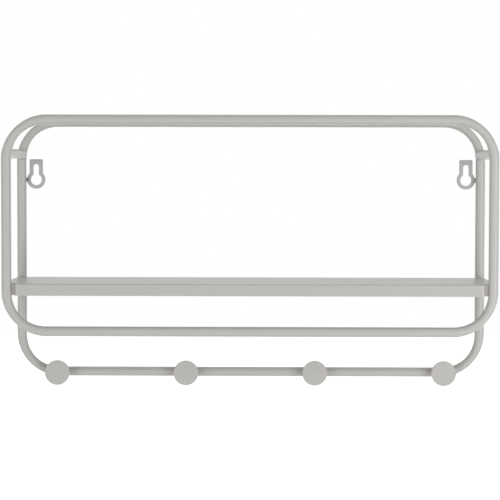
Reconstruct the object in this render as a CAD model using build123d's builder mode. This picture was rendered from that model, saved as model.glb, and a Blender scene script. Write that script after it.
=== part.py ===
from build123d import *

import os
from math import sqrt

# Wall shelf with hooks: two rings of bent tube, a folded sheet shelf between them,
# disc hooks on the taller ring's bottom run and keyhole plates to hang it by.
# Millimetres. X runs along the wall, +Y points into the wall and +Z is up.
# The origin is on the wall, midway between the two keyholes.

# Tube frame
frame_width = 600.0
frame_depth = 150.0
front_ring_height = 268.0
back_ring_height = 332.0
tube_diameter = 12.0
tube_wall = 1.0
bend_radius = 48.0
weld_gap = 0.05
ring_top_above_keyholes = 79.5
spacer_drop = 47.0

# Folded sheet shelf
sheet_thickness = 1.2
fold_radius = 0.8
corner_radius = 2.8
lip_height = 14.5
lip_end_gap = 4.2
gap_under_lip = 37.5

# Disc hooks
hook_count = 4
hook_inset = 53.0
hook_reach = 20.0
stem_diameter = 10.0
disc_diameter = 31.6
disc_thickness = 4.0
disc_edge_chamfer = 0.6

# Keyhole hanger plates
plate_thickness = 2.0
plate_height = 38.0
keyhole_diameter = 14.0
keyhole_rim = 4.7
slot_width = 7.0
slot_side = 5.0
slot_end_margin = 6.5
plate_corner_radius = 2.0
plate_neck_radius = 4.0
hanger_gap = 0.3
weld_tab_height = 6.0
weld_tab_bite = 3.5

# Places that the pieces share
tube_radius = tube_diameter / 2
tube_axis_x = frame_width / 2 - tube_radius
tube_inner_x = frame_width / 2 - tube_diameter
front_axis_y = tube_radius - frame_depth
back_axis_y = -tube_radius
hook_bar_z = ring_top_above_keyholes - back_ring_height + tube_radius

os.makedirs("parts", exist_ok=True)


def bend_offset(past_bend):
    """How far a tube's axis has left its straight run, this far past the start of a bend."""
    along = max(past_bend, 0.0)
    return bend_radius - sqrt(bend_radius**2 - along**2)


def ring_of_bar(axis_y, height, bar_radius):
    """A closed rounded ring of solid round bar in the plane y = axis_y, hung from the rings' common top."""
    axis_height = height - tube_diameter
    middle_z = ring_top_above_keyholes - height / 2
    ring_plane = Plane(origin=(0, axis_y, middle_z), x_dir=(1, 0, 0), z_dir=(0, -1, 0))
    with BuildPart() as ring:
        with BuildLine(ring_plane) as axis:
            FilletPolyline(
                (-tube_axis_x, -axis_height / 2),
                (tube_axis_x, -axis_height / 2),
                (tube_axis_x, axis_height / 2),
                (-tube_axis_x, axis_height / 2),
                radius=bend_radius,
                close=True,
            )
        with BuildSketch(Plane(origin=axis.line @ 0, z_dir=axis.line % 0)):
            Circle(bar_radius)
        sweep(path=axis.line)
    return ring.part


# Outer forms of the two rings, and the same grown by the weld gap, which copes what seats on them
front_form = ring_of_bar(front_axis_y, front_ring_height, tube_radius)
back_form = ring_of_bar(back_axis_y, back_ring_height, tube_radius)
front_cope = ring_of_bar(front_axis_y, front_ring_height, tube_radius + weld_gap)
back_cope = ring_of_bar(back_axis_y, back_ring_height, tube_radius + weld_gap)

# Front ring
with BuildPart() as front_ring:
    add(front_form)
    add(ring_of_bar(front_axis_y, front_ring_height, tube_radius - tube_wall), mode=Mode.SUBTRACT)
front_ring.part.label = "front_ring"
export_step(front_ring.part, "parts/front_ring.step")

# Back ring, whose bottom run is the hook bar
with BuildPart() as back_ring:
    add(back_form)
    add(ring_of_bar(back_axis_y, back_ring_height, tube_radius - tube_wall), mode=Mode.SUBTRACT)
back_ring.part.label = "back_ring"
export_step(back_ring.part, "parts/back_ring.step")

# Spacer tubes, coped over both rings at the end of their top bends
spacer_z = ring_top_above_keyholes - spacer_drop
spacer_x = tube_axis_x - bend_offset(tube_radius + bend_radius - spacer_drop)

with BuildPart() as spacer_right:
    with BuildSketch(Plane.XZ.offset(-back_axis_y)):
        with Locations((spacer_x, spacer_z)):
            Circle(tube_radius)
            Circle(tube_radius - tube_wall, mode=Mode.SUBTRACT)
    extrude(amount=back_axis_y - front_axis_y)
    add(front_cope, mode=Mode.SUBTRACT)
    add(back_cope, mode=Mode.SUBTRACT)
spacer_right.part.label = "spacer_right"
export_step(spacer_right.part, "parts/spacer_right.step")

with BuildPart() as spacer_left:
    mirror(spacer_right.part, about=Plane.YZ)
spacer_left.part.label = "spacer_left"
export_step(spacer_left.part, "parts/spacer_left.step")

# Shelf: a tray folded down all round, notched at its front corners so that the lip stands between the tubes
shelf_under_z = ring_top_above_keyholes - front_ring_height + tube_diameter + gap_under_lip
shelf_half_width = frame_width / 2
lip_half_width = tube_inner_x - lip_end_gap
lip_y = -frame_depth
notch_y = tube_diameter - frame_depth
shelf_back_y = -tube_diameter


def tray_block(inset):
    """The tray's notched outline moved in by inset, standing as a block with rounded corners and folds."""
    half_width = shelf_half_width - inset
    half_lip = lip_half_width - inset
    convex_radius = corner_radius + sheet_thickness - inset
    concave_radius = corner_radius + inset
    with BuildPart() as block:
        with BuildSketch(Plane.XY.offset(shelf_under_z)) as outline:
            with BuildLine():
                Polyline(
                    (half_width, shelf_back_y - inset),
                    (half_width, notch_y + inset),
                    (half_lip, notch_y + inset),
                    (half_lip, lip_y + inset),
                    (-half_lip, lip_y + inset),
                    (-half_lip, notch_y + inset),
                    (-half_width, notch_y + inset),
                    (-half_width, shelf_back_y - inset),
                    close=True,
                )
            make_face()
            across = outline.vertices().group_by(Axis.Y)
            inner_corners = across[1].sort_by(Axis.X)[1:-1]
            outer_corners = across[0] + across[2] + across[1].sort_by(Axis.X)[:: len(across[1]) - 1]
            fillet(inner_corners, concave_radius)
            fillet(outer_corners, convex_radius)
        extrude(amount=lip_height - inset)
        fillet(block.faces().sort_by(Axis.Z)[-1].edges(), fold_radius + sheet_thickness - inset)
    return block.part


with BuildPart() as shelf:
    add(tray_block(0.0))
    add(tray_block(sheet_thickness), mode=Mode.SUBTRACT)
shelf.part.label = "shelf"
export_step(shelf.part, "parts/shelf.step")

# Hooks: a stem saddled on the hook bar, with a flat disc on its front
hook_pitch = (frame_width - 2 * hook_inset) / (hook_count - 1)
disc_back_y = back_axis_y - hook_reach + disc_thickness

for number in range(1, hook_count + 1):
    hook_x = hook_inset - frame_width / 2 + (number - 1) * hook_pitch
    hook_z = hook_bar_z + bend_offset(abs(hook_x) - tube_axis_x + bend_radius)

    with BuildPart() as hook_stem:
        with BuildSketch(Plane.XZ.offset(-back_axis_y)):
            with Locations((hook_x, hook_z)):
                Circle(stem_diameter / 2)
        extrude(amount=back_axis_y - disc_back_y)
        add(back_cope, mode=Mode.SUBTRACT)
    hook_stem.part.label = f"hook_stem_{number}"
    export_step(hook_stem.part, f"parts/hook_stem_{number}.step")

    with BuildPart() as hook_disc:
        with BuildSketch(Plane.XZ.offset(-disc_back_y)):
            with Locations((hook_x, hook_z)):
                Circle(disc_diameter / 2)
        extrude(amount=disc_thickness)
        chamfer(hook_disc.edges().filter_by(GeomType.CIRCLE), disc_edge_chamfer)
    hook_disc.part.label = f"hook_disc_{number}"
    export_step(hook_disc.part, f"parts/hook_disc_{number}.step")

# Keyhole plates, flat on the wall, each with a side tab welded under the curve of the back ring's upright
head_radius = keyhole_diameter / 2 + keyhole_rim
tab_half_width = slot_width / 2 + slot_side
plate_top = plate_height - head_radius
slot_end_z = plate_top - slot_end_margin - slot_width / 2
keyhole_x = tube_inner_x - hanger_gap - head_radius
weld_tab_end_x = tube_inner_x + weld_tab_bite

with BuildPart() as hanger_right:
    with BuildSketch(Plane.XZ) as plate:
        with BuildSketch(mode=Mode.PRIVATE) as upper:
            with Locations((keyhole_x, plate_top / 2)):
                Rectangle(2 * tab_half_width, plate_top)
            fillet(upper.vertices().group_by(Axis.Y)[-1], plate_corner_radius)
        add(upper.sketch)
        with Locations((keyhole_x, 0)):
            Circle(head_radius)
        necks = plate.vertices().filter_by_position(Axis.Y, 0, head_radius, (False, True))
        fillet(necks.sort_by(Axis.Y)[:2], plate_neck_radius)
        with Locations(((keyhole_x + weld_tab_end_x) / 2, 0)):
            Rectangle(weld_tab_end_x - keyhole_x, weld_tab_height)
        with Locations((keyhole_x, 0)):
            Circle(keyhole_diameter / 2, mode=Mode.SUBTRACT)
        with Locations((keyhole_x, slot_end_z)):
            Circle(slot_width / 2, mode=Mode.SUBTRACT)
        with Locations((keyhole_x, slot_end_z / 2)):
            Rectangle(slot_width, slot_end_z, mode=Mode.SUBTRACT)
    extrude(amount=plate_thickness)
    add(back_cope, mode=Mode.SUBTRACT)
hanger_right.part.label = "hanger_right"
export_step(hanger_right.part, "parts/hanger_right.step")

with BuildPart() as hanger_left:
    mirror(hanger_right.part, about=Plane.YZ)
hanger_left.part.label = "hanger_left"
export_step(hanger_left.part, "parts/hanger_left.step")
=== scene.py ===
import math

import bmesh
import bpy
from bpy.props import FloatProperty, FloatVectorProperty, IntProperty, PointerProperty
from mathutils import Matrix, Vector
from mathutils.geometry import intersect_sphere_sphere_2d


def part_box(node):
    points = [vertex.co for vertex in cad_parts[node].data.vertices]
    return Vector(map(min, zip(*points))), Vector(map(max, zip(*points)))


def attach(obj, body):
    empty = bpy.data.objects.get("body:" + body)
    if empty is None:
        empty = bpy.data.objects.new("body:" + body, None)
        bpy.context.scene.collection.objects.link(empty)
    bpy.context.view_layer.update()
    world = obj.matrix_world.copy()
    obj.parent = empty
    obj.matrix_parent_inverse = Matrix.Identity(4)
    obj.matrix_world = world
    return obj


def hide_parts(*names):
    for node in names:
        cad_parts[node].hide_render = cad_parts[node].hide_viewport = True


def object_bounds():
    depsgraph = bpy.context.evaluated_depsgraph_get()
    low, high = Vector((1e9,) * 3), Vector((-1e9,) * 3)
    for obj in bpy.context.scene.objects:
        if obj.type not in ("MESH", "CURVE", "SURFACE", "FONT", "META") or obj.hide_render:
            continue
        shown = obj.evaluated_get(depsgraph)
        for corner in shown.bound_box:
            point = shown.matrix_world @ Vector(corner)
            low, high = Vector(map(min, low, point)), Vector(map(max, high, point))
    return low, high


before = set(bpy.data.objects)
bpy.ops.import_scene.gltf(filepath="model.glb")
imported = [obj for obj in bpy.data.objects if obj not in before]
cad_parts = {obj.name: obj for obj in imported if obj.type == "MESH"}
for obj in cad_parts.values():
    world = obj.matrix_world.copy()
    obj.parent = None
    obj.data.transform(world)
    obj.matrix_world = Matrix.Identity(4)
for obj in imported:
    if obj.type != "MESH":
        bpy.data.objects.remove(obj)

bl_info = {
    "name": "Wall shelf with hooks",
    "version": (1, 0, 0),
    "blender": (4, 5, 0),
    "location": "View3D > Sidebar > Shelf",
    "description": "Dresses a bent-tube wall shelf with a folded sheet, disc hooks and keyhole hangers",
    "category": "Object",
}

# Boxes of the solids at rest, in metres, from which the pieces take their sizes and places
CAD_BOX = [list(corner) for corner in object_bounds()]
FRONT_LOW, FRONT_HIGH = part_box("front_ring")
BACK_LOW, BACK_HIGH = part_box("back_ring")
SPACER_LOW, SPACER_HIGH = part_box("spacer_right")
SHELF_LOW, SHELF_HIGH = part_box("shelf")
STEM_LOW, STEM_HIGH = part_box("hook_stem_1")
DISC_LOW, DISC_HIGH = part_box("hook_disc_1")
HANGER_LOW, HANGER_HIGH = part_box("hanger_right")
TUBE_DIAMETER = FRONT_HIGH.y - FRONT_LOW.y
HOOK_COUNT = sum(name.startswith("hook_disc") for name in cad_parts)

COAT_SLOT = "grey_powder_coat"
HANGER_SLOT = "hanger_coat"
MM = 0.001

# Distances under which two places count as one
SAME_PLACE = 0.01 * MM
MERGE_DISTANCE = 0.005 * MM
RING_MERGE_DISTANCE = 0.02 * MM

# Angles over which an edge is eased, and over which it is shaded as an edge,
# and how strongly flat faces hold their shading
EASED_ANGLE = math.radians(60)
SHADED_ANGLE = math.radians(40)
FLAT_FACE_WEIGHT = 80

# Steps round the shelf's corners, notches, folds and cut edges, and round a disc's edge
CORNER_STEPS = 6
NOTCH_STEPS = 5
FOLD_STEPS = 5
CUT_EDGE_STEPS = 2
DISC_EDGE_STEPS = 4

# Arcs of a hanger's outline: degrees in a step, and the fewest steps,
# and how finely its stamped edges are rounded
ARC_STEP = 5
ARC_FEWEST = 4
STAMPED_EDGE_RESOLUTION = 1

# Short beads: points round one, and the rounding of its ends against its radius,
# and how finely the beads round a tube's end are rounded
BEAD_SIDES = 16
BEAD_END_ROUNDING = 0.8
BEAD_END_STEPS = 4
LOOP_BEAD_RESOLUTION = 3

# Beads beside the tubes: middle and length against the shelf's height,
# and radius against that of a bead that only touches the tube and the shelf
SHELF_WELD_LEVEL = 0.42
SHELF_WELD_LENGTH = 0.6
SHELF_WELD_SWELL = 1.15

# Beads at the lip's ends: radius against the gap, and length against the shelf's height
LIP_WELD_RADIUS = 0.57
LIP_WELD_LENGTH = 0.97

# Bead on a hanger's tab: length against the tab's height
TAB_WELD_LENGTH = 0.96

# Painted shade where the hangers' tabs meet the tubes: full up to the first distance from the weld's
# middle, gone at the second
SHADE_FULL = 2.2 * MM
SHADE_GONE = 3.4 * MM

# Stage: width of the floor in metres, and of the camera's sensor in millimetres
FLOOR_WIDTH = 12
SENSOR_WIDTH = 36


class TubeSizes(bpy.types.PropertyGroup):
    """Sizes of the bent tube frame."""

    radius: FloatProperty(
        name="Tube radius",
        description="Outer radius of the tube",
        default=TUBE_DIAMETER / 2,
        unit="LENGTH",
    )
    bend: FloatProperty(
        name="Bend radius",
        description="Radius of the bends at the tube's axis",
        default=48 * MM,
        unit="LENGTH",
    )
    flattening: FloatProperty(
        name="Flattening",
        description="How much flatter the tube is in the middle of a bend",
        default=0.11,
        subtype="FACTOR",
    )
    weld: FloatProperty(
        name="Spacer weld",
        description="Radius of the bead round a spacer's end",
        default=1.1 * MM,
        unit="LENGTH",
    )
    weld_draw: FloatProperty(
        name="Weld draw",
        description="Width of the spacers' beads across X, against the tube's",
        default=0.895,
        subtype="FACTOR",
    )
    sides: IntProperty(name="Sides", description="Points round the tube", default=48)
    bend_steps: IntProperty(name="Bend steps", description="Steps along each bend", default=28)


class ShelfSizes(bpy.types.PropertyGroup):
    """Sizes of the folded sheet shelf."""

    sheet: FloatProperty(
        name="Sheet",
        description="Thickness of the sheet",
        default=1.2 * MM,
        unit="LENGTH",
    )
    fold: FloatProperty(
        name="Fold",
        description="Outer radius of the folds",
        default=2 * MM,
        unit="LENGTH",
    )
    corner: FloatProperty(
        name="Corner",
        description="Outer radius of the upright corners",
        default=4 * MM,
        unit="LENGTH",
    )
    lip_end_gap: FloatProperty(
        name="Lip end gap",
        description="Gap between the lip and the front tubes",
        default=4.2 * MM,
        unit="LENGTH",
    )
    edge: FloatProperty(
        name="Edge",
        description="Easing of the cut edges",
        default=0.25 * MM,
        unit="LENGTH",
    )
    weld: FloatProperty(
        name="Shelf weld",
        description="Radius of the beads beside the tubes",
        default=0.8 * MM,
        unit="LENGTH",
    )
    lip_weld_depth: FloatProperty(
        name="Lip weld depth",
        description="How far the lip's beads lie behind the front tubes' axis",
        default=0.6 * MM,
        unit="LENGTH",
    )
    lip_weld_flatness: FloatProperty(
        name="Lip weld flatness",
        description="Thickness of the lip's beads against their width",
        default=0.35,
        subtype="FACTOR",
    )


class HookSizes(bpy.types.PropertyGroup):
    """Sizes of the disc hooks."""

    edge: FloatProperty(
        name="Disc edge",
        description="Radius round the disc's edges",
        default=0.8 * MM,
        unit="LENGTH",
    )
    weld: FloatProperty(
        name="Stem weld",
        description="Radius of the beads round a stem's ends",
        default=0.8 * MM,
        unit="LENGTH",
    )
    sides: IntProperty(name="Sides", description="Points round the disc", default=96)


class HangerSizes(bpy.types.PropertyGroup):
    """Sizes of the keyhole hangers."""

    hole: FloatProperty(
        name="Hole radius",
        description="Radius of the round end",
        default=7 * MM,
        unit="LENGTH",
    )
    rim: FloatProperty(
        name="Rim",
        description="Width of the rim round the hole",
        default=4.7 * MM,
        unit="LENGTH",
    )
    slot: FloatProperty(name="Slot", description="Width of the slot", default=7 * MM, unit="LENGTH")
    slot_side: FloatProperty(
        name="Slot side",
        description="Metal beside the slot",
        default=5 * MM,
        unit="LENGTH",
    )
    slot_end: FloatProperty(
        name="Slot end",
        description="Metal above the slot",
        default=6.5 * MM,
        unit="LENGTH",
    )
    corner: FloatProperty(
        name="Corner",
        description="Radius of the top corners",
        default=2 * MM,
        unit="LENGTH",
    )
    neck: FloatProperty(
        name="Neck",
        description="Radius beside the round head",
        default=4 * MM,
        unit="LENGTH",
    )
    tab: FloatProperty(name="Tab", description="Height of the weld tab", default=6 * MM, unit="LENGTH")
    weld: FloatProperty(
        name="Tab weld",
        description="Radius of the tab's bead",
        default=0.9 * MM,
        unit="LENGTH",
    )
    edge: FloatProperty(
        name="Edge",
        description="Easing of the stamped edges",
        default=0.3 * MM,
        unit="LENGTH",
    )


class CoatColours(bpy.types.PropertyGroup):
    """Colours of the coats."""

    frame_coat: FloatVectorProperty(
        name="Frame coat",
        description="Powder coat of the frame",
        default=(0.50, 0.489, 0.466),
        size=3,
        subtype="COLOR",
    )
    hanger_coat: FloatVectorProperty(
        name="Hanger coat",
        description="Coat of the hangers",
        default=(0.452, 0.452, 0.45),
        size=3,
        subtype="COLOR",
    )
    # Painted shade: the dark colour laid round where each hanger's tab meets the tube
    painted_tab_shade: FloatVectorProperty(
        name="Painted tab shade",
        description="Heat tint round the tabs' welds",
        default=(0.07, 0.066, 0.062),
        size=3,
        subtype="COLOR",
    )
    # How much of the painted shade at the tab the right hanger shows
    right_shade_share: FloatProperty(
        name="Right painted shade",
        description="Share of the heat tint that the right hanger shows",
        default=0.05,
        subtype="FACTOR",
    )
    floor: FloatVectorProperty(
        name="Floor",
        description="Colour of the floor",
        default=(0.9, 0.9, 0.9),
        size=3,
        subtype="COLOR",
    )


class StageSizes(bpy.types.PropertyGroup):
    """Camera, lamps and floor."""

    eye: FloatVectorProperty(
        name="Eye",
        description="Place of the camera",
        default=(0.01839, -2.26656, 0.01564),
        size=3,
        subtype="XYZ",
    )
    yaw: FloatProperty(
        name="Yaw",
        description="Camera turned to the left",
        default=0.0085,
        subtype="ANGLE",
    )
    pitch: FloatProperty(name="Pitch", description="Camera turned up", default=-0.0466, subtype="ANGLE")
    roll: FloatProperty(name="Roll", description="Camera rolled", default=-0.0020, subtype="ANGLE")
    lens: FloatProperty(
        name="Lens",
        description="Focal length on a 36 mm sensor",
        default=126.81,
        unit="CAMERA",
    )
    floor_drop: FloatProperty(
        name="Floor drop",
        description="Floor below the discs",
        default=0.5,
        unit="LENGTH",
    )
    floor_glow: FloatProperty(
        name="Floor glow",
        description="White that the floor adds to what is seen",
        default=0.85,
        subtype="FACTOR",
    )
    world: FloatProperty(
        name="World",
        description="Strength of the world's light on the shelf",
        default=0.42,
    )
    left: FloatProperty(
        name="Left lamp",
        description="Power of the left softbox",
        default=12.5,
        unit="POWER",
    )
    right: FloatProperty(
        name="Right lamp",
        description="Power of the right softbox",
        default=12.2,
        unit="POWER",
    )
    over: FloatProperty(
        name="Over lamp",
        description="Power of the softbox overhead",
        default=3.5,
        unit="POWER",
    )
    back: FloatProperty(
        name="Back lamp",
        description="Power of the low softbox behind",
        default=4,
        unit="POWER",
    )


SETTINGS = {
    "shelf_tubes": TubeSizes,
    "shelf_sheet": ShelfSizes,
    "shelf_hooks": HookSizes,
    "shelf_hangers": HangerSizes,
    "shelf_coats": CoatColours,
    "shelf_stage": StageSizes,
}


# Modelling helpers


def begin():
    """Deselects everything, so that the next primitive is the only thing acted on."""
    bpy.ops.object.select_all(action="DESELECT")


def select(piece):
    """Makes this the only selected piece, and the active one."""
    begin()
    piece.select_set(True)
    bpy.context.view_layer.objects.active = piece


def edit():
    """Goes into edit mode on the active piece."""
    bpy.ops.object.mode_set(mode="EDIT")


def leave():
    """Goes back to object mode."""
    bpy.ops.object.mode_set(mode="OBJECT")


def settle(name):
    """Names the active piece and puts its place into its mesh."""
    piece = bpy.context.object
    piece.name = name
    piece.data.name = name
    bpy.ops.object.transform_apply(location=True, rotation=True, scale=True)
    return piece


def pick(kind, keep):
    """In edit mode, selects only the verts, edges or faces whose points all pass the test."""
    bpy.ops.mesh.select_mode(type=kind)
    bpy.ops.mesh.select_all(action="DESELECT")
    data = bpy.context.edit_object.data
    mesh = bmesh.from_edit_mesh(data)
    parts = {"VERT": mesh.verts, "EDGE": mesh.edges, "FACE": mesh.faces}[kind]
    for part in parts:
        points = [part.co] if kind == "VERT" else [vert.co for vert in part.verts]
        part.select_set(all(keep(point) for point in points))
    mesh.select_flush_mode()
    bmesh.update_edit_mesh(data)


def near(value, target):
    """Whether two measures are the same but for rounding."""
    return abs(value - target) < SAME_PLACE


def within(value, low, high):
    """The value, or the end of the range that it is past."""
    return min(max(value, low), high)


def apply_modifier(piece, kind, **values):
    """Adds a modifier with these values and applies it."""
    bpy.context.view_layer.objects.active = piece
    modifier = piece.modifiers.new(kind.lower(), kind)
    for key, value in values.items():
        setattr(modifier, key, value)
    bpy.ops.object.modifier_apply(modifier=modifier.name)


def ease_edges(piece, width, steps):
    """Rounds the piece's sharp edges."""
    apply_modifier(
        piece, "BEVEL", width=width, segments=steps, limit_method="ANGLE", angle_limit=EASED_ANGLE
    )


def smooth(piece):
    """Smooth shading that keeps flat faces flat."""
    select(piece)
    bpy.ops.object.shade_smooth_by_angle(angle=SHADED_ANGLE)
    apply_modifier(piece, "WEIGHTED_NORMAL", keep_sharp=True, weight=FLAT_FACE_WEIGHT)


def copy_of(piece, name, offset):
    """A copy with its own mesh, moved by offset."""
    select(piece)
    bpy.ops.object.duplicate()
    bpy.ops.transform.translate(value=offset)
    return settle(name)


def mirrored_copy(piece, name):
    """A copy with its own mesh on the other side of the shelf's middle, its faces outwards again."""
    select(piece)
    bpy.ops.object.duplicate()
    edit()
    bpy.ops.mesh.select_all(action="SELECT")
    bpy.ops.transform.resize(value=(-1, 1, 1), center_override=(0, 0, 0))
    bpy.ops.mesh.normals_make_consistent(inside=False)
    leave()
    return settle(name)


def close_end(piece, keep):
    """Fills an open end, the loop of edges that pass the test, with a grid of faces."""
    select(piece)
    edit()
    pick("EDGE", keep)
    bpy.ops.mesh.fill_grid()
    bpy.ops.mesh.select_all(action="SELECT")
    bpy.ops.mesh.normals_make_consistent(inside=False)
    leave()


def clean(piece):
    """Merges points at one place, drops those that only split an edge and turns faces outwards."""
    select(piece)
    edit()
    bpy.ops.mesh.select_all(action="SELECT")
    bpy.ops.mesh.remove_doubles(threshold=MERGE_DISTANCE)
    bpy.ops.mesh.dissolve_degenerate(threshold=MERGE_DISTANCE)
    bpy.ops.mesh.select_mode(type="VERT")
    bpy.ops.mesh.select_all(action="DESELECT")
    mesh = bmesh.from_edit_mesh(piece.data)
    for vert in mesh.verts:
        vert.select_set(len(vert.link_edges) == 2)
    mesh.select_flush_mode()
    bmesh.update_edit_mesh(piece.data)
    bpy.ops.mesh.dissolve_verts()
    bpy.ops.mesh.select_all(action="SELECT")
    bpy.ops.mesh.normals_make_consistent(inside=False)
    leave()


def need_closed(piece):
    """Stops the operator if the piece has an open or doubled edge."""
    mesh = bmesh.new()
    mesh.from_mesh(piece.data)
    faults = sum(not edge.is_manifold for edge in mesh.edges)
    mesh.free()
    if faults:
        raise RuntimeError(f"{piece.name} has {faults} edges that aren't closed")


def dress(piece, material, slot, *nodes):
    """Gives a finished piece its coat, its body and the solids that it stands for."""
    need_closed(piece)
    piece.data.materials.clear()
    piece.data.materials.append(material)
    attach(piece, "root")
    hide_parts(*nodes)


def weld_on(piece, beads):
    """Unites weld beads with the piece that they are laid on."""
    for bead in beads:
        apply_modifier(piece, "BOOLEAN", operation="UNION", object=bead, solver="MANIFOLD")
        bpy.data.objects.remove(bead)
    clean(piece)


# Coats


def group_nodes(name, inputs, outputs):
    """A new shader node group with named sockets, and its input and output nodes."""
    group = bpy.data.node_groups.new(name, "ShaderNodeTree")
    for socket, kind, default in inputs:
        made = group.interface.new_socket(socket, in_out="INPUT", socket_type=kind)
        made.default_value = default
    for socket, kind in outputs:
        group.interface.new_socket(socket, in_out="OUTPUT", socket_type=kind)
    return group, group.nodes.new("NodeGroupInput"), group.nodes.new("NodeGroupOutput")


def centred_noise(nodes, links, place, scale, detail):
    """Noise on Object coordinates that varies about nought."""
    noise = nodes.new("ShaderNodeTexNoise")
    noise.inputs["Scale"].default_value = scale
    noise.inputs["Detail"].default_value = detail
    links.new(place.outputs["Object"], noise.inputs["Vector"])
    centred = nodes.new("ShaderNodeMath")
    centred.operation = "SUBTRACT"
    centred.inputs[1].default_value = 0.5
    links.new(noise.outputs["Fac"], centred.inputs[0])
    return centred.outputs[0]


def multiply_add(nodes, links, value, factor, added):
    """The socket value times the socket factor, plus a socket or a number."""
    sum_node = nodes.new("ShaderNodeMath")
    sum_node.operation = "MULTIPLY_ADD"
    links.new(value, sum_node.inputs[0])
    links.new(factor, sum_node.inputs[1])
    if isinstance(added, float):
        sum_node.inputs[2].default_value = added
    else:
        links.new(added, sum_node.inputs[2])
    return sum_node.outputs[0]


def coat_group():
    """Powder coat: fine orange peel and fleck, slow drift of tone and of roughness."""
    name = "powder_coat_surface"
    if name in bpy.data.node_groups:
        return bpy.data.node_groups[name]
    inputs = [
        ("Colour", "NodeSocketColor", (0.5, 0.5, 0.5, 1)),
        ("Tone Drift", "NodeSocketFloat", 0.02),
        ("Fleck", "NodeSocketFloat", 0.03),
        ("Roughness", "NodeSocketFloat", 0.36),
        ("Roughness Drift", "NodeSocketFloat", 0.04),
        ("Peel Scale", "NodeSocketFloat", 900.0),
    ]
    outputs = [
        ("Colour", "NodeSocketColor"),
        ("Roughness", "NodeSocketFloat"),
        ("Height", "NodeSocketFloat"),
    ]
    group, given, result = group_nodes(name, inputs, outputs)
    nodes, links = group.nodes, group.links
    place = nodes.new("ShaderNodeTexCoord")

    drift = centred_noise(nodes, links, place, scale=14.0, detail=3.0)
    fleck = centred_noise(nodes, links, place, scale=2600.0, detail=1.0)
    drifted = multiply_add(nodes, links, drift, given.outputs["Tone Drift"], 1.0)
    tone = multiply_add(nodes, links, fleck, given.outputs["Fleck"], drifted)
    tinted = nodes.new("ShaderNodeVectorMath")
    tinted.operation = "SCALE"
    links.new(given.outputs["Colour"], tinted.inputs[0])
    links.new(tone, tinted.inputs["Scale"])
    links.new(tinted.outputs["Vector"], result.inputs["Colour"])

    rougher, roughness = given.outputs["Roughness Drift"], given.outputs["Roughness"]
    matt = multiply_add(nodes, links, drift, rougher, roughness)
    links.new(matt, result.inputs["Roughness"])

    peel = nodes.new("ShaderNodeTexNoise")
    peel.inputs["Detail"].default_value = 2.0
    peel.inputs["Roughness"].default_value = 0.55
    links.new(place.outputs["Object"], peel.inputs["Vector"])
    links.new(given.outputs["Peel Scale"], peel.inputs["Scale"])
    links.new(peel.outputs["Fac"], result.inputs["Height"])
    return group


def coat(name, colour, roughness, peel_scale, peel_strength):
    """A powder coat material of one colour."""
    if name in bpy.data.materials:
        return bpy.data.materials[name]
    material = bpy.data.materials.new(name)
    material.use_nodes = True
    nodes, links = material.node_tree.nodes, material.node_tree.links
    shader = nodes["Principled BSDF"]
    shader.inputs["Metallic"].default_value = 0.0
    shader.inputs["IOR"].default_value = 1.5
    surface = nodes.new("ShaderNodeGroup")
    surface.node_tree = coat_group()
    surface.inputs["Colour"].default_value = (*colour, 1)
    surface.inputs["Roughness"].default_value = roughness
    surface.inputs["Peel Scale"].default_value = peel_scale
    bump = nodes.new("ShaderNodeBump")
    bump.inputs["Strength"].default_value = peel_strength
    bump.inputs["Distance"].default_value = 0.1 * MM
    links.new(surface.outputs["Colour"], shader.inputs["Base Color"])
    links.new(surface.outputs["Roughness"], shader.inputs["Roughness"])
    links.new(surface.outputs["Height"], bump.inputs["Height"])
    links.new(bump.outputs["Normal"], shader.inputs["Normal"])
    return material


def frame_coat():
    """The coat of every piece but the hangers."""
    colour = bpy.context.scene.shelf_coats.frame_coat
    return coat("frame_powder_coat", colour, roughness=0.36, peel_scale=900.0, peel_strength=0.06)


def hanger_coat():
    """The hangers' coat, with painted shade round the tabs' welds, and less of it on the right."""
    name = "hanger_grey_coat"
    if name in bpy.data.materials:
        return bpy.data.materials[name]
    colours = bpy.context.scene.shelf_coats
    material = coat(name, colours.hanger_coat, roughness=0.45, peel_scale=1100.0, peel_strength=0.08)
    nodes, links = material.node_tree.nodes, material.node_tree.links
    place = nodes.new("ShaderNodeTexCoord")
    either_side = nodes.new("ShaderNodeVectorMath")
    either_side.operation = "ABSOLUTE"
    links.new(place.outputs["Object"], either_side.inputs[0])
    from_weld = nodes.new("ShaderNodeVectorMath")
    from_weld.operation = "DISTANCE"
    from_weld.inputs[1].default_value = [abs(value) for value in tab_weld_place()]
    links.new(either_side.outputs["Vector"], from_weld.inputs[0])
    fade = nodes.new("ShaderNodeMapRange")
    fade.inputs["From Min"].default_value = SHADE_FULL
    fade.inputs["From Max"].default_value = SHADE_GONE
    links.new(from_weld.outputs["Value"], fade.inputs["Value"])
    across = nodes.new("ShaderNodeSeparateXYZ")
    links.new(place.outputs["Object"], across.inputs["Vector"])
    paler = nodes.new("ShaderNodeMapRange")
    paler.inputs["From Min"].default_value = HANGER_LOW.x / -2
    paler.inputs["From Max"].default_value = HANGER_LOW.x / 2
    paler.inputs["To Max"].default_value = 1 - colours.right_shade_share
    links.new(across.outputs["X"], paler.inputs["Value"])
    links.new(paler.outputs["Result"], fade.inputs["To Min"])
    # Painted shade: darkens the coat round each tab's weld, less on the right hanger
    blend = nodes.new("ShaderNodeMix")
    blend.data_type = "RGBA"
    blend.inputs["A"].default_value = (*colours.painted_tab_shade, 1)
    shader = nodes["Principled BSDF"]
    coated = shader.inputs["Base Color"].links[0].from_socket
    links.new(fade.outputs["Result"], blend.inputs["Factor"])
    links.new(coated, blend.inputs["B"])
    links.new(blend.outputs["Result"], shader.inputs["Base Color"])
    return material


# Pieces


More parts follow.
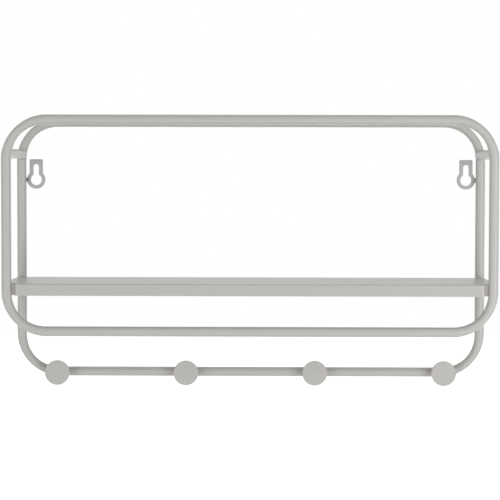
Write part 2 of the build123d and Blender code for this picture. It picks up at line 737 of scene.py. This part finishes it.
def bent_ring(name, low, high, sizes):
    """A tube that runs round the box, straight along each side and spun through each corner."""
    axis_y = (low.y + high.y) / 2
    inset = sizes.radius + sizes.bend
    left, right = low.x + inset, high.x - inset
    bottom, top = low.z + inset, high.z - inset
    start = (left, axis_y, low.z + sizes.radius)
    across, up = right - left, top - bottom
    runs = [(across, 0, 0), (0, 0, up), (-across, 0, 0), (0, 0, -up)]
    corners = [(right, bottom), (right, top), (left, top), (left, bottom)]

    begin()
    bpy.ops.mesh.primitive_circle_add(
        vertices=sizes.sides, radius=sizes.radius, location=start, rotation=(0, math.pi / 2, 0)
    )
    ring = settle(name)
    edit()
    for run, (x, z) in zip(runs, corners):
        bpy.ops.mesh.extrude_region_move(TRANSFORM_OT_translate={"value": run})
        bpy.ops.mesh.spin(
            steps=sizes.bend_steps,
            angle=math.pi / 2,
            center=(x, axis_y, z),
            axis=(0, 1, 0),
        )
    bpy.ops.mesh.select_all(action="SELECT")
    bpy.ops.mesh.remove_doubles(threshold=RING_MERGE_DISTANCE)
    bpy.ops.mesh.normals_make_consistent(inside=False)
    leave()
    flatten_bends(ring, (left, right), (bottom, top), sizes)
    smooth(ring)
    return ring


def flatten_bends(ring, sides, levels, sizes):
    """Draws the tube in towards its axis along each bend, most in the middle, as bending does."""
    mesh = bmesh.new()
    mesh.from_mesh(ring.data)
    for vert in mesh.verts:
        corner = Vector((within(vert.co.x, *sides), vert.co.y, within(vert.co.z, *levels)))
        out = vert.co - corner
        if out.length == 0:
            continue
        in_bend = 2 * out.x * out.z / out.length_squared
        reach = sizes.bend + (out.length - sizes.bend) * (1 - sizes.flattening * in_bend**2)
        vert.co = corner + reach * out.normalized()
    mesh.to_mesh(ring.data)
    mesh.free()


def seat_end(piece, ring, at_y, towards):
    """Moves the end loop at this y along Y on to the ring's surface, as a coped end."""
    group = piece.vertex_groups.new(name="seat")
    group.add([vert.index for vert in piece.data.vertices if near(vert.co.y, at_y)], 1.0, "ADD")
    apply_modifier(
        piece,
        "SHRINKWRAP",
        target=ring,
        vertex_group=group.name,
        wrap_method="PROJECT",
        use_project_y=True,
        use_positive_direction=towards > 0,
        use_negative_direction=towards < 0,
    )
    piece.vertex_groups.clear()


def loop_bead(piece, keep, radius, narrow_x):
    """A weld bead along a loop of the piece's edges, drawn in a little across X."""
    select(piece)
    bpy.ops.object.duplicate()
    bead = bpy.context.object
    edit()
    pick("EDGE", keep)
    bpy.ops.mesh.select_all(action="INVERT")
    bpy.ops.mesh.delete(type="EDGE")
    leave()
    middle_x = sum(vert.co.x for vert in bead.data.vertices) / len(bead.data.vertices)
    edit()
    bpy.ops.mesh.select_all(action="SELECT")
    bpy.ops.transform.resize(value=(narrow_x, 1, 1), center_override=(middle_x, 0, 0))
    leave()
    bpy.ops.object.convert(target="CURVE")
    bead = bpy.context.object
    bead.data.bevel_depth = radius
    bead.data.bevel_resolution = LOOP_BEAD_RESOLUTION
    bpy.ops.object.convert(target="MESH")
    return bpy.context.object


def short_bead(name, radius, length, place):
    """A short upright weld bead with rounded ends."""
    begin()
    bpy.ops.mesh.primitive_cylinder_add(
        vertices=BEAD_SIDES, radius=radius, depth=length, location=place
    )
    bead = settle(name)
    edit()
    rounding = BEAD_END_ROUNDING * radius
    for end_z in (place.z + length / 2, place.z - length / 2):
        pick("EDGE", lambda point: near(point.z, end_z))
        bpy.ops.mesh.bevel(offset=rounding, segments=BEAD_END_STEPS, affect="EDGES")
    leave()
    return bead


def tab_weld_place():
    """Where the right hanger's tab meets the face of the back ring's upright."""
    tube_radius = TUBE_DIAMETER / 2
    axis_x, axis_y = BACK_HIGH.x - tube_radius, BACK_HIGH.y - tube_radius
    face_y = HANGER_LOW.y
    edge_x = axis_x - math.sqrt(tube_radius**2 - (face_y - axis_y) ** 2)
    return Vector((edge_x, face_y, 0))


class SHELF_OT_rings(bpy.types.Operator):
    """Bends the front and the back ring"""

    bl_idname = "shelf.rings"
    bl_label = "Rings"

    def execute(self, context):
        sizes = context.scene.shelf_tubes
        boxes = {"front_ring": (FRONT_LOW, FRONT_HIGH), "back_ring": (BACK_LOW, BACK_HIGH)}
        for node, (low, high) in boxes.items():
            ring = bent_ring(f"{node}_tube", low, high, sizes)
            dress(ring, frame_coat(), COAT_SLOT, node)
        return {"FINISHED"}


class SHELF_OT_spacers(bpy.types.Operator):
    """Copes and welds the spacer tubes between the rings"""

    bl_idname = "shelf.spacers"
    bl_label = "Spacers"

    def execute(self, context):
        sizes = context.scene.shelf_tubes
        front_y = (FRONT_LOW.y + FRONT_HIGH.y) / 2
        back_y = (BACK_LOW.y + BACK_HIGH.y) / 2
        half_y = (front_y + back_y) / 2
        middle = (SPACER_LOW + SPACER_HIGH) / 2
        begin()
        bpy.ops.mesh.primitive_cylinder_add(
            vertices=sizes.sides,
            radius=sizes.radius,
            depth=back_y - front_y,
            end_fill_type="NOTHING",
            location=(middle.x, half_y, middle.z),
            rotation=(math.pi / 2, 0, 0),
        )
        right = settle("spacer_right_tube")
        seat_end(right, bpy.data.objects["front_ring_tube"], front_y, 1)
        seat_end(right, bpy.data.objects["back_ring_tube"], back_y, -1)
        ends = (lambda point: point.y < half_y, lambda point: point.y > half_y)
        beads = [loop_bead(right, end, sizes.weld, sizes.weld_draw) for end in ends]
        for end in ends:
            close_end(right, end)
        weld_on(right, beads)
        left = mirrored_copy(right, "spacer_left_tube")
        for spacer, node in ((right, "spacer_right"), (left, "spacer_left")):
            smooth(spacer)
            dress(spacer, frame_coat(), COAT_SLOT, node)
        return {"FINISHED"}


class SHELF_OT_tray(bpy.types.Operator):
    """Folds the sheet shelf"""

    bl_idname = "shelf.tray"
    bl_label = "Shelf"

    def execute(self, context):
        sizes = context.scene.shelf_sheet
        low, high = SHELF_LOW, SHELF_HIGH
        notch_y = low.y + TUBE_DIAMETER
        half_lip = high.x - TUBE_DIAMETER - sizes.lip_end_gap

        begin()
        bpy.ops.mesh.primitive_plane_add(size=1, location=(0, (notch_y + high.y) / 2, low.z))
        bpy.ops.transform.resize(value=(high.x - low.x, high.y - notch_y, 1))
        shelf = settle("shelf_sheet")
        edit()
        for x in (-half_lip, half_lip):
            bpy.ops.mesh.select_all(action="SELECT")
            bpy.ops.mesh.bisect(plane_co=(x, 0, 0), plane_no=(1, 0, 0))
        pick("EDGE", lambda point: near(point.y, notch_y) and abs(point.x) < half_lip + SAME_PLACE)
        bpy.ops.mesh.extrude_region_move(TRANSFORM_OT_translate={"value": (0, low.y - notch_y, 0)})
        bpy.ops.mesh.select_all(action="SELECT")
        bpy.ops.mesh.dissolve_faces()
        pick("VERT", lambda point: near(point.y, notch_y) and near(abs(point.x), half_lip))
        bpy.ops.mesh.bevel(offset=sizes.corner - sizes.sheet, segments=NOTCH_STEPS, affect="VERTICES")
        pick("VERT", lambda point: near(abs(point.x), high.x) or near(point.y, low.y))
        bpy.ops.mesh.bevel(offset=sizes.corner, segments=CORNER_STEPS, affect="VERTICES")
        bpy.ops.mesh.select_all(action="SELECT")
        bpy.ops.mesh.extrude_region_move(TRANSFORM_OT_translate={"value": (0, 0, high.z - low.z)})
        pick("FACE", lambda point: near(point.z, low.z))
        bpy.ops.mesh.delete(type="ONLY_FACE")
        bpy.ops.mesh.select_all(action="SELECT")
        bpy.ops.mesh.normals_make_consistent(inside=False)
        pick("EDGE", lambda point: near(point.z, high.z))
        bpy.ops.mesh.bevel(offset=sizes.fold, segments=FOLD_STEPS, affect="EDGES")
        leave()
        apply_modifier(shelf, "SOLIDIFY", thickness=sizes.sheet, offset=-1, use_even_offset=True)
        ease_edges(shelf, sizes.edge, CUT_EDGE_STEPS)
        weld_on(shelf, self.welds(sizes) + self.lip_welds(sizes))
        smooth(shelf)
        dress(shelf, frame_coat(), COAT_SLOT, "shelf")
        return {"FINISHED"}

    def welds(self, sizes):
        """Short upright beads beside the tubes, at the shelf's walls and rounded outer corners."""
        radius = sizes.weld
        tube_radius = TUBE_DIAMETER / 2
        axis_x = FRONT_HIGH.x - tube_radius
        # Places from the tube's axis, X outwards and Y towards the shelf
        inner = Vector((-2 * math.sqrt(radius * tube_radius), tube_radius - radius))
        tube = Vector((0, 0))
        corner = Vector((tube_radius - sizes.corner, tube_radius + sizes.corner))
        touching = intersect_sphere_sphere_2d(tube, tube_radius + radius, corner, sizes.corner + radius)
        outer = max(touching, key=lambda point: point.x)
        height = SHELF_HIGH.z - SHELF_LOW.z
        bead_z = SHELF_LOW.z + SHELF_WELD_LEVEL * height
        places = []
        for side in (-1, 1):
            for across, along in (inner, outer):
                for y in (FRONT_LOW.y + tube_radius + along, BACK_HIGH.y - tube_radius - along):
                    places.append(Vector((side * (axis_x + across), y, bead_z)))
        length = SHELF_WELD_LENGTH * height
        first = short_bead("shelf_weld", SHELF_WELD_SWELL * radius, length, places[0])
        return [first] + [copy_of(first, "shelf_weld", place - places[0]) for place in places[1:]]

    def lip_welds(self, sizes):
        """Low upright beads that fill the gaps between the lip's ends and the front tubes."""
        gap = sizes.lip_end_gap
        height = SHELF_HIGH.z - SHELF_LOW.z
        middle_x = SHELF_HIGH.x - TUBE_DIAMETER - gap / 2
        bead_y = (FRONT_LOW.y + FRONT_HIGH.y) / 2 + sizes.lip_weld_depth
        place = Vector((middle_x, bead_y, SHELF_LOW.z + height / 2))
        right = short_bead("lip_weld", LIP_WELD_RADIUS * gap, LIP_WELD_LENGTH * height, place)
        edit()
        bpy.ops.mesh.select_all(action="SELECT")
        bpy.ops.transform.resize(value=(1, sizes.lip_weld_flatness, 1), center_override=place)
        leave()
        left = copy_of(right, "lip_weld", Vector((-2 * middle_x, 0, 0)))
        return [right, left]


class SHELF_OT_hooks(bpy.types.Operator):
    """Turns the stems and discs of the hooks"""

    bl_idname = "shelf.hooks"
    bl_label = "Hooks"

    def execute(self, context):
        sizes = context.scene.shelf_hooks
        stem = self.stem(sizes, context.scene.shelf_tubes.sides)
        disc = self.disc(sizes)
        stems, discs = [stem], [disc]
        for number in range(2, HOOK_COUNT + 1):
            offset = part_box(f"hook_disc_{number}")[0] - DISC_LOW
            stems.append(copy_of(stem, f"hook_stem_{number}_bar", offset))
            discs.append(copy_of(disc, f"hook_disc_{number}_face", offset))
        for number in range(1, HOOK_COUNT + 1):
            dress(stems[number - 1], frame_coat(), COAT_SLOT, f"hook_stem_{number}")
            dress(discs[number - 1], frame_coat(), COAT_SLOT, f"hook_disc_{number}")
        return {"FINISHED"}

    def stem(self, sizes, sides):
        """The first hook's stem, saddled on the bar and welded at both ends."""
        bar_y = (BACK_LOW.y + BACK_HIGH.y) / 2
        middle = (STEM_LOW + STEM_HIGH) / 2
        begin()
        bpy.ops.mesh.primitive_cylinder_add(
            vertices=sides,
            radius=(STEM_HIGH.x - STEM_LOW.x) / 2,
            depth=bar_y - STEM_LOW.y,
            end_fill_type="NOTHING",
            location=(middle.x, (bar_y + STEM_LOW.y) / 2, middle.z),
            rotation=(math.pi / 2, 0, 0),
        )
        stem = settle("hook_stem_1_bar")
        seat_end(stem, bpy.data.objects["back_ring_tube"], bar_y, -1)
        ends = (
            lambda point: near(point.y, STEM_LOW.y),
            lambda point: not near(point.y, STEM_LOW.y),
        )
        beads = [loop_bead(stem, end, sizes.weld, narrow_x=1) for end in ends]
        for end in ends:
            close_end(stem, end)
        weld_on(stem, beads)
        smooth(stem)
        return stem

    def disc(self, sizes):
        """The first hook's disc, its edges rounded."""
        begin()
        bpy.ops.mesh.primitive_cylinder_add(
            vertices=sizes.sides,
            radius=(DISC_HIGH.x - DISC_LOW.x) / 2,
            depth=DISC_HIGH.y - DISC_LOW.y,
            location=(DISC_LOW + DISC_HIGH) / 2,
            rotation=(math.pi / 2, 0, 0),
        )
        disc = settle("hook_disc_1_face")
        ease_edges(disc, sizes.edge, DISC_EDGE_STEPS)
        smooth(disc)
        return disc


class SHELF_OT_hangers(bpy.types.Operator):
    """Stamps the keyhole hangers"""

    bl_idname = "shelf.hangers"
    bl_label = "Hangers"

    def execute(self, context):
        right = self.plate(context.scene.shelf_hangers)
        left = mirrored_copy(right, "hanger_left_plate")
        for plate, node in ((right, "hanger_right"), (left, "hanger_left")):
            smooth(plate)
            dress(plate, hanger_coat(), HANGER_SLOT, node)
        return {"FINISHED"}

    def plate(self, sizes):
        """The right hanger: a round head with a straight top, a keyhole and a tab to the tube."""
        low, high = HANGER_LOW, HANGER_HIGH
        head = sizes.hole + sizes.rim
        head_x, head_z = low.x + head, low.z + head
        top = high.z - head_z
        loops = [self.outline(sizes, head, top, high.x - head_x), self.keyhole(sizes, top)]
        middle = Vector((head_x, (low.y + high.y) / 2, head_z))
        plate = self.stamping(loops, high.y - low.y, sizes.edge, middle)
        weld_place = tab_weld_place() + Vector((0, 0, head_z))
        weld_on(plate, [short_bead("tab_weld", sizes.weld, TAB_WELD_LENGTH * sizes.tab, weld_place)])
        return plate

    def outline(self, sizes, head, top, tab_end):
        """The plate's outer edge about the middle of its round head, starting at the tab."""
        half_top = sizes.slot_side + sizes.slot / 2
        neck_x = half_top + sizes.neck
        neck_z = math.sqrt((head + sizes.neck) ** 2 - neck_x**2)
        neck_turn = math.degrees(math.atan2(neck_z, neck_x))
        tab_turn = math.degrees(math.asin(sizes.tab / 2 / head))
        corner_x, corner_z = half_top - sizes.corner, top - sizes.corner
        points = [(tab_end, -sizes.tab / 2), (tab_end, sizes.tab / 2)]
        points += self.arc((0, 0), head, tab_turn, neck_turn)
        points += self.arc((neck_x, neck_z), sizes.neck, 180 + neck_turn, 180)[1:]
        points += self.arc((corner_x, corner_z), sizes.corner, 0, 90)
        points += self.arc((-corner_x, corner_z), sizes.corner, 90, 180)
        points += self.arc((-neck_x, neck_z), sizes.neck, 0, -neck_turn)
        points += self.arc((0, 0), head, 180 - neck_turn, 360 - tab_turn)[1:]
        return points

    def keyhole(self, sizes, top):
        """The keyhole's edge about the middle of its round end."""
        half_slot = sizes.slot / 2
        slot_turn = math.degrees(math.acos(half_slot / sizes.hole))
        slot_end = (0, top - sizes.slot_end - half_slot)
        points = self.arc(slot_end, half_slot, 0, 180)
        points += self.arc((0, 0), sizes.hole, 180 - slot_turn, 360 + slot_turn)
        return points

    def arc(self, middle, radius, start, end):
        """Points along an arc from one angle to another, in degrees."""
        steps = max(ARC_FEWEST, round(abs(end - start) / ARC_STEP))
        points = []
        for step in range(steps + 1):
            turn = math.radians(start + (end - start) * step / steps)
            points.append((middle[0] + radius * math.cos(turn), middle[1] + radius * math.sin(turn)))
        return points

    def stamping(self, loops, thickness, edge, place):
        """An upright plate of these loops, drawn as a flat curve, with its edges eased."""
        drawing = bpy.data.curves.new("hanger_right_plate", "CURVE")
        drawing.dimensions = "2D"
        drawing.fill_mode = "BOTH"
        drawing.extrude = thickness / 2 - edge
        drawing.bevel_depth = edge
        drawing.bevel_resolution = STAMPED_EDGE_RESOLUTION
        drawing.offset = -edge
        for loop in loops:
            spline = drawing.splines.new("POLY")
            spline.points.add(len(loop) - 1)
            for point, (x, z) in zip(spline.points, loop):
                point.co = (x, z, 0, 1)
            spline.use_cyclic_u = True
        plate = bpy.data.objects.new("hanger_right_plate", drawing)
        bpy.context.collection.objects.link(plate)
        plate.location = place
        plate.rotation_euler = (math.pi / 2, 0, 0)
        select(plate)
        bpy.ops.object.convert(target="MESH")
        plate = settle("hanger_right_plate")
        clean(plate)
        return plate


def seen_directly(nodes, links, strength):
    """Strength for camera, glossy and transmission rays, and nought for the light that falls."""
    rays = nodes.new("ShaderNodeLightPath")
    first = nodes.new("ShaderNodeMath")
    first.operation = "MAXIMUM"
    links.new(rays.outputs["Is Camera Ray"], first.inputs[0])
    links.new(rays.outputs["Is Glossy Ray"], first.inputs[1])
    second = nodes.new("ShaderNodeMath")
    second.operation = "MAXIMUM"
    links.new(first.outputs[0], second.inputs[0])
    links.new(rays.outputs["Is Transmission Ray"], second.inputs[1])
    scaled = nodes.new("ShaderNodeMath")
    scaled.operation = "MULTIPLY"
    scaled.inputs[1].default_value = strength
    links.new(second.outputs[0], scaled.inputs[0])
    return scaled.outputs[0]


class SHELF_OT_stage(bpy.types.Operator):
    """Sets the floor, the lamps, the world and the camera"""

    bl_idname = "shelf.stage"
    bl_label = "Stage"

    def execute(self, context):
        stage = context.scene.shelf_stage
        context.scene.view_settings.view_transform = "Standard"
        self.floor(context, stage)
        self.world(context, stage)
        self.lamps(stage)
        self.camera(context, stage)
        return {"FINISHED"}

    def floor(self, context, stage):
        """A pale floor that is seen as white."""
        begin()
        floor_z = CAD_BOX[0][2] - stage.floor_drop
        bpy.ops.mesh.primitive_plane_add(size=FLOOR_WIDTH, location=(0, 0, floor_z))
        floor = settle("floor")
        material = bpy.data.materials.new("pale_floor")
        material.use_nodes = True
        nodes, links = material.node_tree.nodes, material.node_tree.links
        shader = nodes["Principled BSDF"]
        shader.inputs["Base Color"].default_value = (*context.scene.shelf_coats.floor, 1)
        shader.inputs["Roughness"].default_value = 0.9
        shader.inputs["Specular IOR Level"].default_value = 0.1
        glow = nodes.new("ShaderNodeEmission")
        links.new(seen_directly(nodes, links, stage.floor_glow), glow.inputs["Strength"])
        both = nodes.new("ShaderNodeAddShader")
        links.new(shader.outputs["BSDF"], both.inputs[0])
        links.new(glow.outputs["Emission"], both.inputs[1])
        links.new(both.outputs["Shader"], nodes["Material Output"].inputs["Surface"])
        floor.data.materials.append(material)

    def world(self, context, stage):
        """A white background that lights the shelf more weakly than it looks."""
        world = bpy.data.worlds.new("studio")
        context.scene.world = world
        world.use_nodes = True
        nodes, links = world.node_tree.nodes, world.node_tree.links
        white = nodes["Background"]
        white.inputs["Color"].default_value = (1, 1, 1, 1)
        white.inputs["Strength"].default_value = 1.0
        dim = nodes.new("ShaderNodeBackground")
        dim.inputs["Color"].default_value = (1, 1, 1, 1)
        dim.inputs["Strength"].default_value = stage.world
        both = nodes.new("ShaderNodeMixShader")
        links.new(seen_directly(nodes, links, 1.0), both.inputs["Fac"])
        links.new(dim.outputs["Background"], both.inputs[1])
        links.new(white.outputs["Background"], both.inputs[2])
        links.new(both.outputs["Shader"], nodes["World Output"].inputs["Surface"])

    def lamps(self, stage):
        """Softboxes at either side in front, and over and low behind the shelf."""
        self.softbox("softbox_left", place=(-1.5, -1.9, -0.1), size=(1.0, 1.2), power=stage.left)
        self.softbox("softbox_right", place=(1.15, -1.35, -0.1), size=(1.0, 1.2), power=stage.right)
        self.softbox("softbox_over", place=(0, 1.2, 1.3), size=(2.0, 0.8), power=stage.over)
        self.softbox("softbox_back", place=(0, 1.2, -0.55), size=(1.8, 0.3), power=stage.back)

    def softbox(self, name, place, size, power):
        """A rectangular lamp that faces the shelf's middle."""
        begin()
        middle = (Vector(CAD_BOX[0]) + Vector(CAD_BOX[1])) / 2
        turn = (Vector(place) - middle).to_track_quat("Z", "Y").to_euler()
        bpy.ops.object.light_add(type="AREA", location=place, rotation=turn)
        lamp = bpy.context.object
        lamp.name = name
        lamp.data.shape = "RECTANGLE"
        lamp.data.size, lamp.data.size_y = size
        lamp.data.energy = power

    def camera(self, context, stage):
        """A camera in front of the shelf, a little above its middle."""
        begin()
        bpy.ops.object.camera_add(location=stage.eye)
        camera = context.object
        camera.name = "photo_camera"
        turn = (
            Matrix.Rotation(stage.yaw, 3, "Z")
            @ Matrix.Rotation(stage.pitch, 3, "X")
            @ Matrix.Rotation(stage.roll, 3, "Y")
            @ Matrix.Rotation(math.pi / 2, 3, "X")
        )
        camera.rotation_euler = turn.to_euler()
        camera.data.sensor_width = SENSOR_WIDTH
        camera.data.lens = stage.lens
        context.scene.camera = camera


class SHELF_PT_pieces(bpy.types.Panel):
    """Lists the pieces of the shelf"""

    bl_idname = "SHELF_PT_pieces"
    bl_label = "Wall shelf with hooks"
    bl_space_type = "VIEW_3D"
    bl_region_type = "UI"
    bl_category = "Shelf"

    def draw(self, context):
        for operator in OPERATORS:
            self.layout.operator(operator.bl_idname)


OPERATORS = (
    SHELF_OT_rings,
    SHELF_OT_spacers,
    SHELF_OT_tray,
    SHELF_OT_hooks,
    SHELF_OT_hangers,
    SHELF_OT_stage,
)
CLASSES = (*SETTINGS.values(), *OPERATORS, SHELF_PT_pieces)


def register():
    for cls in CLASSES:
        bpy.utils.register_class(cls)
    for name, cls in SETTINGS.items():
        setattr(bpy.types.Scene, name, PointerProperty(type=cls))


def unregister():
    for name in SETTINGS:
        delattr(bpy.types.Scene, name)
    for cls in reversed(CLASSES):
        bpy.utils.unregister_class(cls)


def main():
    register()
    bpy.ops.shelf.rings()
    bpy.ops.shelf.spacers()
    bpy.ops.shelf.tray()
    bpy.ops.shelf.hooks()
    bpy.ops.shelf.hangers()
    bpy.ops.shelf.stage()


if __name__ == "__main__":
    main()
